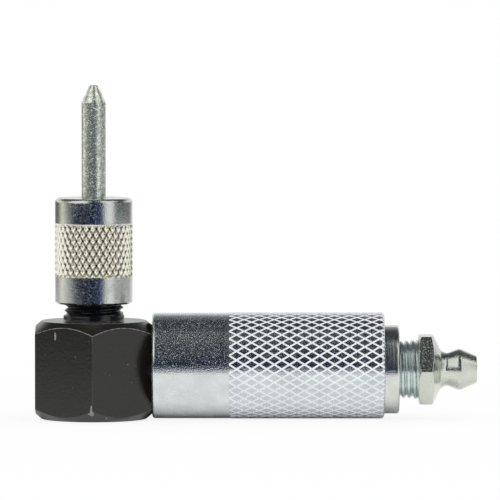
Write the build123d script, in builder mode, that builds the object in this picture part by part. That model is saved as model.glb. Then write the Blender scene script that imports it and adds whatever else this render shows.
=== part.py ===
from build123d import *
from math import cos, radians, sin, sqrt, tan
import os

os.makedirs("parts", exist_ok=True)

# Right-angle needle coupler for grease. Grease comes in at the nipple, runs through the
# barrel of a quick coupler into the elbow, and leaves at the tip of the needle.
#
# The origin is on the floor, at the centre of the elbow's lower face. +Z runs up the needle
# and +X runs along the coupler to the inlet nipple. All sizes are in millimetres.
#
# Both sides of a thread are plain surfaces at the crest of the thread.

# Elbow: a length of hexagon bar with a threaded neck
hex_across_flats = 19.05
hex_face_radius = 8.6
hex_chamfer_angle = 39
thread_radius = 4.86
thread_lead_in = 0.5
fixed_thread_gap = 0.02
turning_thread_gap = 0.05
neck_shoulder_radius = 5.0
neck_shoulder_height = 0.9
neck_exposed = 2.8
neck_engaged = 6.6
neck_root_fillet = 0.3
grease_way_radius = 1.5
port_depth = 7.2

# Needle, with the knurled cap that holds it down on its washer
cap_radius = 6.36
cap_height = 17.35
cap_top_fillet = 0.75
cap_base_chamfer = 0.3
cap_knurl_rise = 0.06
cap_knurl_start = 4.5
cap_knurl_length = 8.7
cap_knurl_chamfer = 0.05
needle_radius = 1.985
needle_exposed = 18.42
needle_tip_length = 2.8
needle_tip_radius = 0.66
needle_bore_radius = 0.6
needle_outlet_radius = 0.35
needle_outlet_depth = 3.4
needle_seat_radius = 2.25
needle_collar_radius = 3.6
needle_collar_height = 1.4
needle_fit_gap = 0.015
washer_thickness = 0.8
washer_radius = 4.7
washer_hole_radius = 1.7

# Barrel of the quick coupler
barrel_radius = 5.6
barrel_bore_radius = 3.75
barrel_start_gap = 0.4
barrel_end_chamfer = 0.35
barrel_edge_chamfer = 0.3
flange_radius = 7.25
flange_exposed = 2.45
inlet_port_depth = 7.5
bore_bottom_gap = 0.5
retaining_lip = 1.0

# Knurled sleeve. It is loose on the barrel, and at rest it lies on the floor with the elbow
sleeve_length = 38.05
sleeve_wall = 0.65
sleeve_play = 0.65
sleeve_knurl_rise = 0.05
sleeve_knurl_start = 12.9
sleeve_knurl_chamfer = 0.04
sleeve_end_fillet = 0.5
sleeve_gap = 0.1
sleeve_flat_gap = 0.05
sleeve_travel = 5.0
land_width = 5.8
land_lead_in = 0.3

# Stop ring that the sleeve's land rests against, and the spring that holds it there. The
# spring is wound tight when the sleeve has made its travel, and its ends are ground flat
stop_ring_thickness = 1.0
stop_ring_bore_gap = 0.175
stop_ring_seat_depth = 0.6
stop_ring_side_gap = 0.05
stop_ring_opening = 2.6
spring_wire = 1.0
spring_turns = 7
spring_ground_share = 0.25

# Plug of the elbow, with the balls that lock it in the barrel and the rings that seal it
plug_collar_across_flats = 11.11
plug_collar_width = 2.6
plug_gap = 0.05
plug_bore_radius = 1.25
plug_nose_chamfer = 0.6
plug_nose_length = 1.0
ball_radius = 1.5875
ball_count = 6
ball_groove_gap = 0.05
ball_hole_gap = 0.01
ball_hole_draft = 6
ball_to_seal = 1.6
backup_ring_width = 0.5
backup_ring_section = 0.95
seal_section = 1.0
seal_gap = 0.03
seal_side_gap = 0.15

# Inlet nipple, with its check ball and spring
nipple_hex_across_flats = 11.11
nipple_hex_width = 2.45
nipple_hex_face_radius = 5.75
nipple_hex_chamfer = 0.4
nipple_thread_radius = 4.68
nipple_thread_exposed = 3.17
nipple_thread_engaged = 5.2
nipple_cone_length = 1.1
nipple_cone_radius = 3.19
nipple_neck_length = 1.05
nipple_neck_radius = 2.64
nipple_neck_fillet = 0.9
nipple_head_radius = 3.36
nipple_head_start = 4.25
nipple_head_land = 0.5
nipple_head_fillet = 0.5
nipple_length = 7.1
nipple_tip_radius = 2.2
nipple_tip_fillet = 0.2
nipple_bore_radius = 1.3
nipple_orifice_radius = 0.75
nipple_lip_thickness = 0.4
nipple_crimp_radius = 0.7
nipple_crimp_thickness = 0.6
check_ball_radius = 1.19
check_seat_gap = 0.02
check_spring_wire = 0.3
check_spring_radius = 0.85
check_spring_turns = 9

# Under the barrel's flange are its gap to the sleeve, the sleeve's wall and the knurling,
# and they set the height of the coupler's axis. The elbow is made twice as tall. The sleeve
# lies higher than the barrel by all of its play.
sleeve_bore_radius = flange_radius + sleeve_play + sleeve_gap
sleeve_radius = sleeve_bore_radius + sleeve_wall
sleeve_knurl_radius = sleeve_radius + sleeve_knurl_rise
axis_height = flange_radius + sleeve_gap + sleeve_wall + sleeve_knurl_rise
hex_height = 2 * axis_height
flat_x = hex_across_flats / 2
hex_corner_radius = flat_x / cos(radians(30))
sleeve_axis_height = axis_height + sleeve_play
land_radius = barrel_radius + sleeve_play + sleeve_gap

# Heights up the needle's axis
neck_top = hex_height + neck_exposed + neck_engaged
cap_base = hex_height + neck_exposed
cap_top = cap_base + cap_height
needle_base = neck_top + washer_thickness
needle_top = cap_top + needle_exposed

# Distances along the coupler's axis
plug_start = flat_x - port_depth + thread_lead_in
plug_collar_end = flat_x + plug_collar_width
barrel_start = plug_collar_end + barrel_start_gap
stop_ring_start = barrel_start + retaining_lip
land_start = stop_ring_start + stop_ring_thickness + stop_ring_side_gap
land_end = land_start + land_width
ball_x = land_start + sleeve_travel - ball_radius - sleeve_gap
seal_groove_start = ball_x + ball_radius + ball_to_seal
seal_x = seal_groove_start + backup_ring_width + seal_section / 2 + seal_gap
seal_groove_end = seal_x + seal_section / 2 + seal_side_gap
plug_end = seal_groove_end + plug_nose_length
bore_end = plug_end + bore_bottom_gap
spring_length = spring_wire * (spring_turns + 1) + sleeve_travel
flange_start = land_end + spring_length
sleeve_start = flat_x + sleeve_flat_gap
sleeve_end = sleeve_start + sleeve_length
barrel_end = sleeve_end + flange_exposed
nipple_start = barrel_end - nipple_thread_engaged
nipple_hex_start = barrel_end + nipple_thread_exposed
nipple_hex_end = nipple_hex_start + nipple_hex_width
nipple_end = nipple_hex_end + nipple_length
check_seat_x = nipple_end - nipple_lip_thickness
check_spring_start = nipple_start + nipple_crimp_thickness

# The check ball rests on a seat of 45 degrees, which meets the edge of the orifice
check_ball_reach = check_ball_radius + check_seat_gap
check_ball_x = check_seat_x + nipple_orifice_radius - check_ball_reach / sin(radians(45))
check_spring_inside = check_spring_radius - check_spring_wire / 2
check_spring_end = check_ball_x - sqrt(check_ball_reach**2 - check_spring_inside**2)

# Distances from the coupler's axis. The balls stand proud of the barrel, close to the land.
ball_orbit = barrel_radius + sleeve_gap / 2 - ball_radius
plug_radius = barrel_bore_radius - plug_gap
seal_orbit = plug_radius + seal_gap + seal_section / 2
seal_groove_radius = seal_orbit + seal_section / 2 + seal_gap
stop_ring_radius = sleeve_bore_radius - sleeve_play - stop_ring_bore_gap
stop_ring_inner_radius = barrel_radius - stop_ring_seat_depth

# The spring is in the middle of the room between the barrel and the sleeve
spring_radius = (barrel_radius + sleeve_bore_radius) / 2
spring_axis_height = axis_height + sleeve_play / 2


def lengthwise(height=axis_height):
    """The upright plane through an axis along X at this height: x is x, y is the radius."""
    return Plane(origin=(0, 0, height), x_dir=(1, 0, 0), z_dir=(0, -1, 0))


def across(x, height=axis_height):
    """The plane square to that axis at x. It faces the inlet, and its y points up."""
    return Plane(origin=(x, 0, height), x_dir=(0, 1, 0), z_dir=(1, 0, 0))


def along_x(height=axis_height):
    """The axis itself."""
    return Axis((0, 0, height), (1, 0, 0))


def outward(number):
    """The plane that one lock ball moves square to. Its origin is on the coupler's axis."""
    angle = radians(360 / ball_count * number)
    return Plane(
        origin=(ball_x, 0, axis_height),
        x_dir=(1, 0, 0),
        z_dir=(0, cos(angle), sin(angle)),
    )


def coil_spring(start, end, height, radius, wire, turns):
    """A compression spring along X from start to end, with both ends ground flat."""
    grind = wire * spring_ground_share
    length = end - start - wire + 2 * grind
    with BuildPart() as spring:
        with BuildLine():
            coil = Helix(
                pitch=length / turns,
                height=length,
                radius=radius,
                center=(start + wire / 2 - grind, 0, height),
                direction=(1, 0, 0),
            )
        with BuildSketch(Plane(origin=coil @ 0, z_dir=coil % 0)):
            Circle(wire / 2)
        sweep(is_frenet=True)
        with BuildSketch(across(start, height)):
            Circle(radius + wire)
        extrude(amount=end - start, mode=Mode.INTERSECT)
    return spring


# Elbow: hexagon bar with turned ends, the neck for the cap and the port for the plug
with BuildPart() as elbow_body:
    with BuildSketch():
        RegularPolygon(flat_x, 6, major_radius=False, rotation=30)
    extrude(amount=hex_height)
    corner_drop = (hex_corner_radius - hex_face_radius) * tan(radians(hex_chamfer_angle))
    with BuildSketch(Plane.XZ):
        with BuildLine():
            Polyline(
                (0, 0),
                (hex_face_radius, 0),
                (hex_corner_radius, corner_drop),
                (hex_corner_radius, hex_height - corner_drop),
                (hex_face_radius, hex_height),
                (0, hex_height),
                close=True,
            )
        make_face()
    revolve(axis=Axis.Z, mode=Mode.INTERSECT)
    with BuildSketch(Plane.XZ):
        with BuildLine():
            Polyline(
                (0, hex_height - neck_root_fillet),
                (neck_shoulder_radius + neck_root_fillet, hex_height - neck_root_fillet),
                (neck_shoulder_radius + neck_root_fillet, hex_height),
                (neck_shoulder_radius, hex_height + neck_root_fillet),
                (neck_shoulder_radius, hex_height + neck_shoulder_height),
                (thread_radius, hex_height + neck_shoulder_height),
                (thread_radius, neck_top - thread_lead_in),
                (thread_radius - thread_lead_in, neck_top),
                (0, neck_top),
                close=True,
            )
        make_face()
    revolve(axis=Axis.Z)
    with Locations(across(flat_x)):
        CounterBoreHole(
            radius=grease_way_radius,
            counter_bore_radius=thread_radius + fixed_thread_gap,
            counter_bore_depth=port_depth,
            depth=flat_x,
        )
    with Locations((0, 0, neck_top)):
        Hole(radius=grease_way_radius, depth=neck_top - axis_height + grease_way_radius)
elbow_body.part.label = "elbow_body"

# Cap: a long knurled nut that screws on the neck
with BuildPart() as needle_cap:
    with BuildSketch(Plane.XZ) as cap_outline:
        with BuildLine():
            knurl_low = cap_base + cap_knurl_start
            knurl_high = knurl_low + cap_knurl_length
            Polyline(
                (0, cap_base),
                (cap_radius - cap_base_chamfer, cap_base),
                (cap_radius, cap_base + cap_base_chamfer),
                (cap_radius, knurl_low - cap_knurl_chamfer),
                (cap_radius + cap_knurl_rise, knurl_low),
                (cap_radius + cap_knurl_rise, knurl_high),
                (cap_radius, knurl_high + cap_knurl_chamfer),
                (cap_radius, cap_top),
                (0, cap_top),
                close=True,
            )
        make_face()
    revolve(axis=Axis.Z)
    fillet(needle_cap.faces().sort_by(Axis.Z)[-1].edges(), cap_top_fillet)
    with Locations(Location((0, 0, cap_base), (180, 0, 0))):
        CounterBoreHole(
            radius=needle_seat_radius + needle_fit_gap,
            counter_bore_radius=needle_collar_radius + needle_fit_gap,
            counter_bore_depth=needle_base + needle_collar_height - cap_base,
        )
        Hole(radius=thread_radius + turning_thread_gap, depth=needle_base - cap_base)
needle_cap.part.label = "needle_cap"

# Needle: a drilled rod with a conical tip, and a collar that the cap bears down on
with BuildPart() as needle:
    with BuildSketch(Plane.XZ):
        with BuildLine():
            Polyline(
                (0, needle_base),
                (needle_collar_radius, needle_base),
                (needle_collar_radius, needle_base + needle_collar_height),
                (needle_seat_radius, needle_base + needle_collar_height),
                (needle_seat_radius, cap_top),
                (needle_radius, cap_top),
                (needle_radius, needle_top - needle_tip_length),
                (needle_tip_radius, needle_top),
                (0, needle_top),
                close=True,
            )
        make_face()
    revolve(axis=Axis.Z)
    with Locations(Location((0, 0, needle_base), (180, 0, 0))):
        Hole(radius=needle_bore_radius, depth=needle_top - needle_outlet_depth - needle_base)
    with Locations((0, 0, needle_top)):
        Hole(radius=needle_outlet_radius, depth=needle_outlet_depth)
needle.part.label = "needle"

# Washer that seals the needle's collar on the neck
with BuildPart() as needle_washer:
    with BuildSketch(Plane.XY.offset(neck_top)):
        Circle(washer_radius)
        Circle(washer_hole_radius, mode=Mode.SUBTRACT)
    extrude(amount=washer_thickness)
needle_washer.part.label = "needle_washer"

# Plug: it is screwed into the elbow, and its nose turns in the barrel
with BuildPart() as coupler_plug:
    with BuildSketch(across(flat_x)):
        RegularPolygon(plug_collar_across_flats / 2, 6, major_radius=False)
    extrude(amount=plug_collar_width)
    with BuildSketch(lengthwise()):
        with BuildLine():
            Polyline(
                (plug_start, 0),
                (plug_start, thread_radius - thread_lead_in),
                (plug_start + thread_lead_in, thread_radius),
                (flat_x, thread_radius),
                (flat_x, plug_radius),
                (plug_end - plug_nose_chamfer, plug_radius),
                (plug_end, plug_radius - plug_nose_chamfer),
                (plug_end, 0),
                close=True,
            )
        make_face()
        with Locations((ball_x, ball_orbit)):
            Circle(ball_radius + ball_groove_gap, mode=Mode.SUBTRACT)
    revolve(axis=along_x())
    with Locations(across(plug_end)):
        Hole(radius=plug_bore_radius, depth=plug_end - plug_start)
coupler_plug.part.label = "coupler_plug"

# Balls that lock the plug in the barrel
lock_balls = []
for number in range(ball_count):
    with BuildPart() as lock_ball:
        with Locations(outward(number).offset(ball_orbit)):
            Sphere(ball_radius)
    lock_ball.part.label = f"lock_ball_{number + 1}"
    lock_balls.append(lock_ball)

# Barrel: the socket for the plug, with a long flange that guides the sleeve
with BuildPart() as barrel:
    with BuildSketch(lengthwise()):
        with BuildLine():
            Polyline(
                (barrel_start, 0),
                (barrel_start, barrel_radius - barrel_edge_chamfer),
                (barrel_start + barrel_edge_chamfer, barrel_radius),
                (flange_start, barrel_radius),
                (flange_start, flange_radius),
                (barrel_end - barrel_end_chamfer, flange_radius),
                (barrel_end, flange_radius - barrel_end_chamfer),
                (barrel_end, 0),
                close=True,
            )
        make_face()
        with Locations((stop_ring_start, stop_ring_inner_radius)):
            Rectangle(
                stop_ring_thickness,
                stop_ring_seat_depth,
                align=(Align.MIN, Align.MIN),
                mode=Mode.SUBTRACT,
            )
        with Locations((barrel_start, 0)):
            Rectangle(
                bore_end - barrel_start,
                barrel_bore_radius,
                align=(Align.MIN, Align.MIN),
                mode=Mode.SUBTRACT,
            )
        with Locations((seal_groove_start, 0)):
            Rectangle(
                seal_groove_end - seal_groove_start,
                seal_groove_radius,
                align=(Align.MIN, Align.MIN),
                mode=Mode.SUBTRACT,
            )
    revolve(axis=along_x())
    with Locations(across(barrel_end)):
        CounterBoreHole(
            radius=grease_way_radius,
            counter_bore_radius=nipple_thread_radius + fixed_thread_gap,
            counter_bore_depth=inlet_port_depth,
            depth=barrel_end - plug_end,
        )
    # The ball holes narrow towards the bore, so that no ball drops in when the plug is out
    narrow = ball_radius - ball_hole_gap
    deep = barrel_radius - barrel_bore_radius + barrel_edge_chamfer
    for number in range(ball_count):
        with Locations(outward(number).offset(barrel_bore_radius)):
            Cone(
                narrow,
                narrow + deep * tan(radians(ball_hole_draft)),
                deep,
                align=(Align.CENTER, Align.CENTER, Align.MIN),
                mode=Mode.SUBTRACT,
            )
        with Locations(outward(number)):
            Cylinder(
                narrow,
                barrel_bore_radius,
                align=(Align.CENTER, Align.CENTER, Align.MIN),
                mode=Mode.SUBTRACT,
            )
barrel.part.label = "barrel"

# Stop ring: an open ring sprung into the barrel's groove
with BuildPart() as stop_ring:
    with BuildSketch(across(stop_ring_start)):
        Circle(stop_ring_radius)
        Circle(stop_ring_inner_radius, mode=Mode.SUBTRACT)
        Rectangle(
            stop_ring_opening,
            stop_ring_radius,
            align=(Align.CENTER, Align.MIN),
            mode=Mode.SUBTRACT,
        )
    extrude(amount=stop_ring_thickness)
stop_ring.part.label = "stop_ring"

# Seal between the plug and the barrel, and the ring behind it that keeps it in its groove
with BuildPart() as plug_seal:
    with BuildSketch(lengthwise()):
        with Locations((seal_x, seal_orbit)):
            Circle(seal_section / 2)
    revolve(axis=along_x())
plug_seal.part.label = "plug_seal"

with BuildPart() as backup_ring:
    with BuildSketch(across(seal_groove_start)):
        Circle(plug_radius + seal_gap + backup_ring_section)
        Circle(plug_radius + seal_gap, mode=Mode.SUBTRACT)
    extrude(amount=backup_ring_width)
backup_ring.part.label = "backup_ring"

# Sleeve: a thin tube, with a land inside it that covers the balls
with BuildPart() as sleeve:
    with BuildSketch(lengthwise(sleeve_axis_height)):
        with BuildLine():
            knurl_x = sleeve_start + sleeve_knurl_start
            Polyline(
                (sleeve_start, sleeve_bore_radius),
                (land_start, sleeve_bore_radius),
                (land_start, land_radius + land_lead_in),
                (land_start + land_lead_in, land_radius),
                (land_end, land_radius),
                (land_end, sleeve_bore_radius),
                (sleeve_end, sleeve_bore_radius),
                (sleeve_end, sleeve_knurl_radius),
                (knurl_x + sleeve_knurl_chamfer, sleeve_knurl_radius),
                (knurl_x, sleeve_radius),
                (sleeve_start, sleeve_radius),
                close=True,
            )
        make_face()
    revolve(axis=along_x(sleeve_axis_height))
    for end_face in (sleeve.faces().sort_by(Axis.X)[0], sleeve.faces().sort_by(Axis.X)[-1]):
        fillet(end_face.edges().sort_by(SortBy.RADIUS)[-1], sleeve_end_fillet)
sleeve.part.label = "sleeve"

# Spring that holds the sleeve on its stop
sleeve_spring = coil_spring(
    land_end, flange_start, spring_axis_height, spring_radius, spring_wire, spring_turns
)
sleeve_spring.part.label = "sleeve_spring"

# Inlet nipple: thread, hexagon and head in one piece, crimped over the end of its spring
with BuildPart() as nipple_body:
    with BuildSketch(across(nipple_hex_start)):
        RegularPolygon(nipple_hex_across_flats / 2, 6, major_radius=False)
    extrude(amount=nipple_hex_width)
    with BuildSketch(lengthwise()):
        with BuildLine():
            nipple_corner_radius = nipple_hex_across_flats / 2 / cos(radians(30))
            Polyline(
                (nipple_hex_start, 0),
                (nipple_hex_start, nipple_hex_face_radius),
                (nipple_hex_start + nipple_hex_chamfer, nipple_corner_radius),
                (nipple_hex_end - nipple_hex_chamfer, nipple_corner_radius),
                (nipple_hex_end, nipple_hex_across_flats / 2),
                (nipple_hex_end, 0),
                close=True,
            )
        make_face()
    revolve(axis=along_x(), mode=Mode.INTERSECT)
    with BuildSketch(lengthwise()):
        with BuildLine():
            cone_x = nipple_hex_end + nipple_cone_length
            neck_x = cone_x + nipple_neck_length
            head_x = nipple_hex_end + nipple_head_start
            FilletPolyline(
                (nipple_hex_end, nipple_hex_across_flats / 2),
                (cone_x, nipple_cone_radius),
                (neck_x, nipple_neck_radius),
                (head_x - nipple_head_land / 2, nipple_head_radius),
                (head_x + nipple_head_land / 2, nipple_head_radius),
                (nipple_end, nipple_tip_radius),
                (nipple_end, 0),
                radius=(
                    nipple_neck_fillet,
                    nipple_neck_fillet,
                    nipple_head_fillet,
                    nipple_head_fillet,
                    nipple_tip_fillet,
                ),
            )
            Polyline(
                (nipple_end, 0),
                (nipple_start, 0),
                (nipple_start, nipple_thread_radius - thread_lead_in),
                (nipple_start + thread_lead_in, nipple_thread_radius),
                (barrel_end, nipple_thread_radius),
                (nipple_hex_start, thread_radius),
                (nipple_hex_end, nipple_hex_across_flats / 2),
            )
        make_face()
    revolve(axis=along_x())
    with BuildSketch(lengthwise()):
        with BuildLine():
            Polyline(
                (nipple_start, 0),
                (nipple_start, nipple_crimp_radius),
                (check_spring_start, nipple_crimp_radius),
                (check_spring_start, nipple_bore_radius),
                (check_seat_x + nipple_orifice_radius - nipple_bore_radius, nipple_bore_radius),
                (check_seat_x, nipple_orifice_radius),
                (nipple_end, nipple_orifice_radius),
                (nipple_end, 0),
                close=True,
            )
        make_face()
    revolve(axis=along_x(), mode=Mode.SUBTRACT)
nipple_body.part.label = "nipple_body"

with BuildPart() as check_ball:
    with Locations((check_ball_x, 0, axis_height)):
        Sphere(check_ball_radius)
check_ball.part.label = "check_ball"

check_spring = coil_spring(
    check_spring_start,
    check_spring_end,
    axis_height,
    check_spring_radius,
    check_spring_wire,
    check_spring_turns,
)
check_spring.part.label = "check_spring"

pieces = [
    elbow_body,
    needle_cap,
    needle,
    needle_washer,
    coupler_plug,
    barrel,
    stop_ring,
    plug_seal,
    backup_ring,
    sleeve,
    sleeve_spring,
    nipple_body,
    check_ball,
    check_spring,
    *lock_balls,
]
for piece in pieces:
    export_step(piece.part, f"parts/{piece.part.label}.step")
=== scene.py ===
"""Grease coupler: the finished look of its pieces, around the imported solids.

Every length is in metres and every place is in the row frame: the needle's axis is Z, the
coupler lies along X on its own axis, and -Y is the side that the camera sees.
"""

from __future__ import annotations

import logging
import math
from collections.abc import Callable, Iterator, Sequence
from contextlib import contextmanager
from dataclasses import dataclass
from enum import Enum
from functools import partial

import bmesh
import bpy
from mathutils import Matrix, Vector

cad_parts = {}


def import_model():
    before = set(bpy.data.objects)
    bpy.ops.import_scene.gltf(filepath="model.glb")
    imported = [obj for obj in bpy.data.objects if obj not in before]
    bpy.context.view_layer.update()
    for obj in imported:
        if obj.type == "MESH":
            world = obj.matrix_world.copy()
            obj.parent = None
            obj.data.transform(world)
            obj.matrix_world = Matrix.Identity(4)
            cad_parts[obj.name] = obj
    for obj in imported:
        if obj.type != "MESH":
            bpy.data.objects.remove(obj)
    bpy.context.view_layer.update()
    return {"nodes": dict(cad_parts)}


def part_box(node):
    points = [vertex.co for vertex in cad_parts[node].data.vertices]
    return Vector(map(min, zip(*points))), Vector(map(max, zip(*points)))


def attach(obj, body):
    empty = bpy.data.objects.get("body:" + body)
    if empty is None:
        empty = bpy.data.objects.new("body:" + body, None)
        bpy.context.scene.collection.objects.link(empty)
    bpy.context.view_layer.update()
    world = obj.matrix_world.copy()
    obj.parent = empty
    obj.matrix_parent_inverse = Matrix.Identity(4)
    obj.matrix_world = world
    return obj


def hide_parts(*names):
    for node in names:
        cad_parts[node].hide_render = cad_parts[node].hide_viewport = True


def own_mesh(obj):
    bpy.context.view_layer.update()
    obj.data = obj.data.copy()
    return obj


LOG = logging.getLogger("grease_coupler")
MM = 0.001
MICRON = 0.001 * MM
FULL_TURN = 2 * math.pi
PIPE_PITCH = 25.4 * MM / 27
# The number of faces round a turned piece, a thread, a slim rod, a bore, a spring and a drill
LATHE_STEPS, THREAD_STEPS, ROD_STEPS = 144, 96, 72
BORE_STEPS, COIL_STEPS, DRILL_STEPS = 48, 40, 32
# How far a piece reaches into the one that it is joined to
BITE = 0.2 * MM
BLACK, WHITE = "000000", "ffffff"
Outline = list[tuple[float, float]]
Colour = tuple[float, float, float, float]
Piece = bpy.types.Object
Finish = bpy.types.Material
Socket = bpy.types.NodeSocket
AddNode = Callable[..., Socket]


class Cut(Enum):
    """What a boolean leaves of a piece."""

    INTERSECT = "INTERSECT"
    UNION = "UNION"
    DIFFERENCE = "DIFFERENCE"


class End(Enum):
    """The end of a threaded rod that runs into a shoulder."""

    LOW = "low"
    HIGH = "high"


class Marks(Enum):
    """The axis that turning marks go round."""

    NONE = ""
    COUPLER = "X"


def linear(code: str, share: float = 1.0) -> Colour:
    """Turns an sRGB hex colour into linear light.

    Args:
        code: Six hex digits, such as "c8ccd0".
        share: What share of the light is left.

    Returns:
        The colour's red, green and blue, and an alpha of 1.
    """
    parts = [int(code[n : n + 2], 16) / 255 for n in (0, 2, 4)]
    light = [p / 12.92 if p <= 0.04045 else ((p + 0.055) / 1.055) ** 2.4 for p in parts]
    return (light[0] * share, light[1] * share, light[2] * share, 1.0)


def stops(span: float, codes: dict[float, str]) -> list[tuple[float, Colour]]:
    """Lays out the colours of a ramp.

    Args:
        span: The size of the range that their places are in, with 0 at its middle.
        codes: An sRGB hex colour for each place.

    Returns:
        Each stop's place on the ramp, from 0 to 1, and its colour.
    """
    return [(0.5 + place / span, linear(code)) for place, code in codes.items()]


def feed(node: bpy.types.Node, links: dict[str | int, Socket]) -> None:
    """Links sockets to a node's inputs, which are given by name or number."""
    for key, socket in links.items():
        node.id_data.links.new(socket, node.inputs[key])


def add_node(
    tree: bpy.types.NodeTree,
    kind: str,
    settings: dict[str | int, object] | None = None,
    links: dict[str | int, Socket] | None = None,
    out: str | int = 0,
) -> Socket:
    """Adds a node to a tree.

    Args:
        tree: The node tree.
        kind: The node's type name, after the ShaderNode that each starts with.
        settings: Values for the node's own properties by name, or for its inputs by name or
            number. A ramp's colours are its stops.
        links: The socket that feeds each input, by the input's name or number.
        out: The output that is wanted, by name or number.

    Returns:
        That output.
    """
    node = tree.nodes.new("ShaderNode" + kind)
    for key, value in (settings or {}).items():
        if key == "stops":
            elements = node.color_ramp.elements
            elements.remove(elements[1])
            for number, (place, colour) in enumerate(value):
                stop = elements.new(place) if number else elements[0]
                stop.position, stop.color = place, colour
        elif isinstance(key, str) and hasattr(node, key):
            setattr(node, key, value)
        else:
            node.inputs[key].default_value = value
    feed(node, links or {})
    return node.outputs[out]


def new_material(name: str, constants: dict[str, object]) -> tuple[Finish, AddNode, bpy.types.Node]:
    """Makes a new material.

    Args:
        name: Its name.
        constants: Values for the inputs of its Principled shader.

    Returns:
        The material, the function that adds a node to it, and that shader.
    """
    material = bpy.data.materials.new(name)
    material.use_nodes = True
    shader = material.node_tree.nodes["Principled BSDF"]
    for key, value in constants.items():
        shader.inputs[key].default_value = value
    return material, partial(add_node, material.node_tree), shader


def activate(piece: Piece) -> None:
    """Selects one piece alone and makes it the active one."""
    bpy.ops.object.select_all(action="DESELECT")
    piece.select_set(True)
    bpy.context.view_layer.objects.active = piece


@contextmanager
def editing(piece: Piece, everything: bool = True) -> Iterator[bmesh.types.BMesh]:
    """Opens one piece in edit mode.

    Args:
        piece: The mesh object.
        everything: Whether all of it is selected, or nothing.

    Yields:
        Its mesh as it stands in edit mode.
    """
    activate(piece)
    bpy.ops.object.mode_set(mode="EDIT")
    bpy.ops.mesh.select_all(action="SELECT" if everything else "DESELECT")
    try:
        yield bmesh.from_edit_mesh(piece.data)
    finally:
        bpy.ops.object.mode_set(mode="OBJECT")


def add_piece(name: str, primitive: Callable[..., object], **settings: object) -> Piece:
    """Adds a primitive as a new piece.

    Args:
        name: The piece's name.
        primitive: The operator that adds it.
        settings: The operator's own settings.

    Returns:
        The piece, with its place in its mesh.
    """
    bpy.ops.object.select_all(action="DESELECT")
    primitive(**settings)
    piece = bpy.context.object
    piece.name = piece.data.name = name
    bpy.ops.object.transform_apply(location=True, rotation=True, scale=True)
    return piece


def clean(piece: Piece) -> None:
    """Merges a piece's double vertices and turns its faces outwards."""
    with editing(piece):
        bpy.ops.mesh.remove_doubles(threshold=0.5 * MICRON)
        bpy.ops.mesh.normals_make_consistent(inside=False)


def slice_at(
    piece: Piece, place: Sequence[float], outward: Sequence[float], keep: bool = False
) -> None:
    """Cuts a piece with a plane and throws away what lies beyond it.

    Args:
        piece: The piece.
        place: A point of the plane.
        outward: The plane's normal, towards what is thrown away.
        keep: Whether to keep both sides, so that only new edges are left.
    """
    with editing(piece):
        bpy.ops.mesh.bisect(
            plane_co=place, plane_no=outward, clear_outer=not keep, threshold=0.1 * MICRON
        )


def fill_ends(piece: Piece) -> None:
    """Closes each open edge of a piece with a flat face."""
    with editing(piece):
        bpy.ops.mesh.fill_holes(sides=0)


def modify(piece: Piece, kind: str, **settings: object) -> None:
    """Shapes a piece with a modifier, and applies it.

    Args:
        piece: The piece.
        kind: The modifier's type name.
        settings: Values for its properties, by name.
    """
    modifier = piece.modifiers.new(kind.lower(), kind)
    for key, value in settings.items():
        setattr(modifier, key, value)
    activate(piece)
    bpy.ops.object.modifier_apply(modifier=modifier.name)


def wind(piece: Piece, pitch: float, turns: int, steps: int) -> None:
    """Winds a piece's outline into a helix about Z.

    Args:
        piece: The piece.
        pitch: How far the helix climbs in a turn.
        turns: The number of turns.
        steps: The number of faces in a turn.
    """
    turn = {"axis": "Z", "angle": FULL_TURN, "screw_offset": pitch, "iterations": turns}
    modify(piece, "SCREW", **turn, steps=steps, render_steps=steps)


def combine(piece: Piece, tool: Piece, cut: Cut) -> None:
    """Cuts a piece with a tool, or joins the tool to it, and throws the tool away."""
    modify(piece, "BOOLEAN", operation=cut.value, solver="EXACT", object=tool)
    bpy.data.objects.remove(tool)


def arc(
    centre: tuple[float, float], radius: float, start: float, end: float, steps: int = 6
) -> Outline:
    """Points round an arc of an outline.

    Args:
        centre: The arc's centre, as distance from the axis and height along it.
        radius: Its radius.
        start: The angle of its first point, in degrees, from the outward direction.
        end: The angle of its last point.
        steps: The number of stretches.

    Returns:
        The points, with both ends.
    """
    angles = [math.radians(start + (end - start) * n / steps) for n in range(steps + 1)]
    return [(centre[0] + radius * math.cos(a), centre[1] + radius * math.sin(a)) for a in angles]


def rounded(points: Outline, radii: Sequence[float], steps: int = 6) -> Outline:
    """Rounds the corners of an outline.

    Args:
        points: The outline's points.
        radii: A radius for each corner between the two ends, or 0 for a sharp one.
        steps: The number of stretches in each arc.

    Returns:
        The outline, with an arc in place of each rounded corner.
    """
    out = [points[0]]
    for before, corner, after, radius in zip(points, points[1:], points[2:], radii):
        if not radius:
            out.append(corner)
            continue
        here = Vector(corner)
        inward = (Vector(before) - here).normalized()
        onward = (Vector(after) - here).normalized()
        half = inward.angle(onward) / 2
        centre = here + (inward + onward).normalized() * (radius / math.sin(half))
        first = here + inward * (radius / math.tan(half)) - centre
        last = here + onward * (radius / math.tan(half)) - centre
        begin = math.atan2(first.y, first.x)
        sweep = math.remainder(math.atan2(last.y, last.x) - begin, FULL_TURN)
        out += arc(tuple(centre), radius, math.degrees(begin), math.degrees(begin + sweep), steps)
    return [*out, points[-1]]


def cylinders(*parts: tuple[float, float, float]) -> Outline:
    """Draws a stepped outline from the radius, the start and the end of each cylinder."""
    return [(radius, place) for radius, *ends in parts for place in ends]


def start_outline(name: str, distance: float, height: float) -> Piece:
    """Adds a piece that is one point so far, for an outline to grow from.

    Args:
        name: The piece's name.
        distance: The point's distance from the Z axis.
        height: Its height.

    Returns:
        The piece.
    """
    piece = add_piece(name, bpy.ops.mesh.primitive_plane_add, size=MM)
    with editing(piece):
        bpy.ops.mesh.merge(type="CENTER")
        bpy.ops.mesh.select_all(action="SELECT")
        bpy.ops.transform.translate(value=(distance, 0, height))
    return piece


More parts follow.
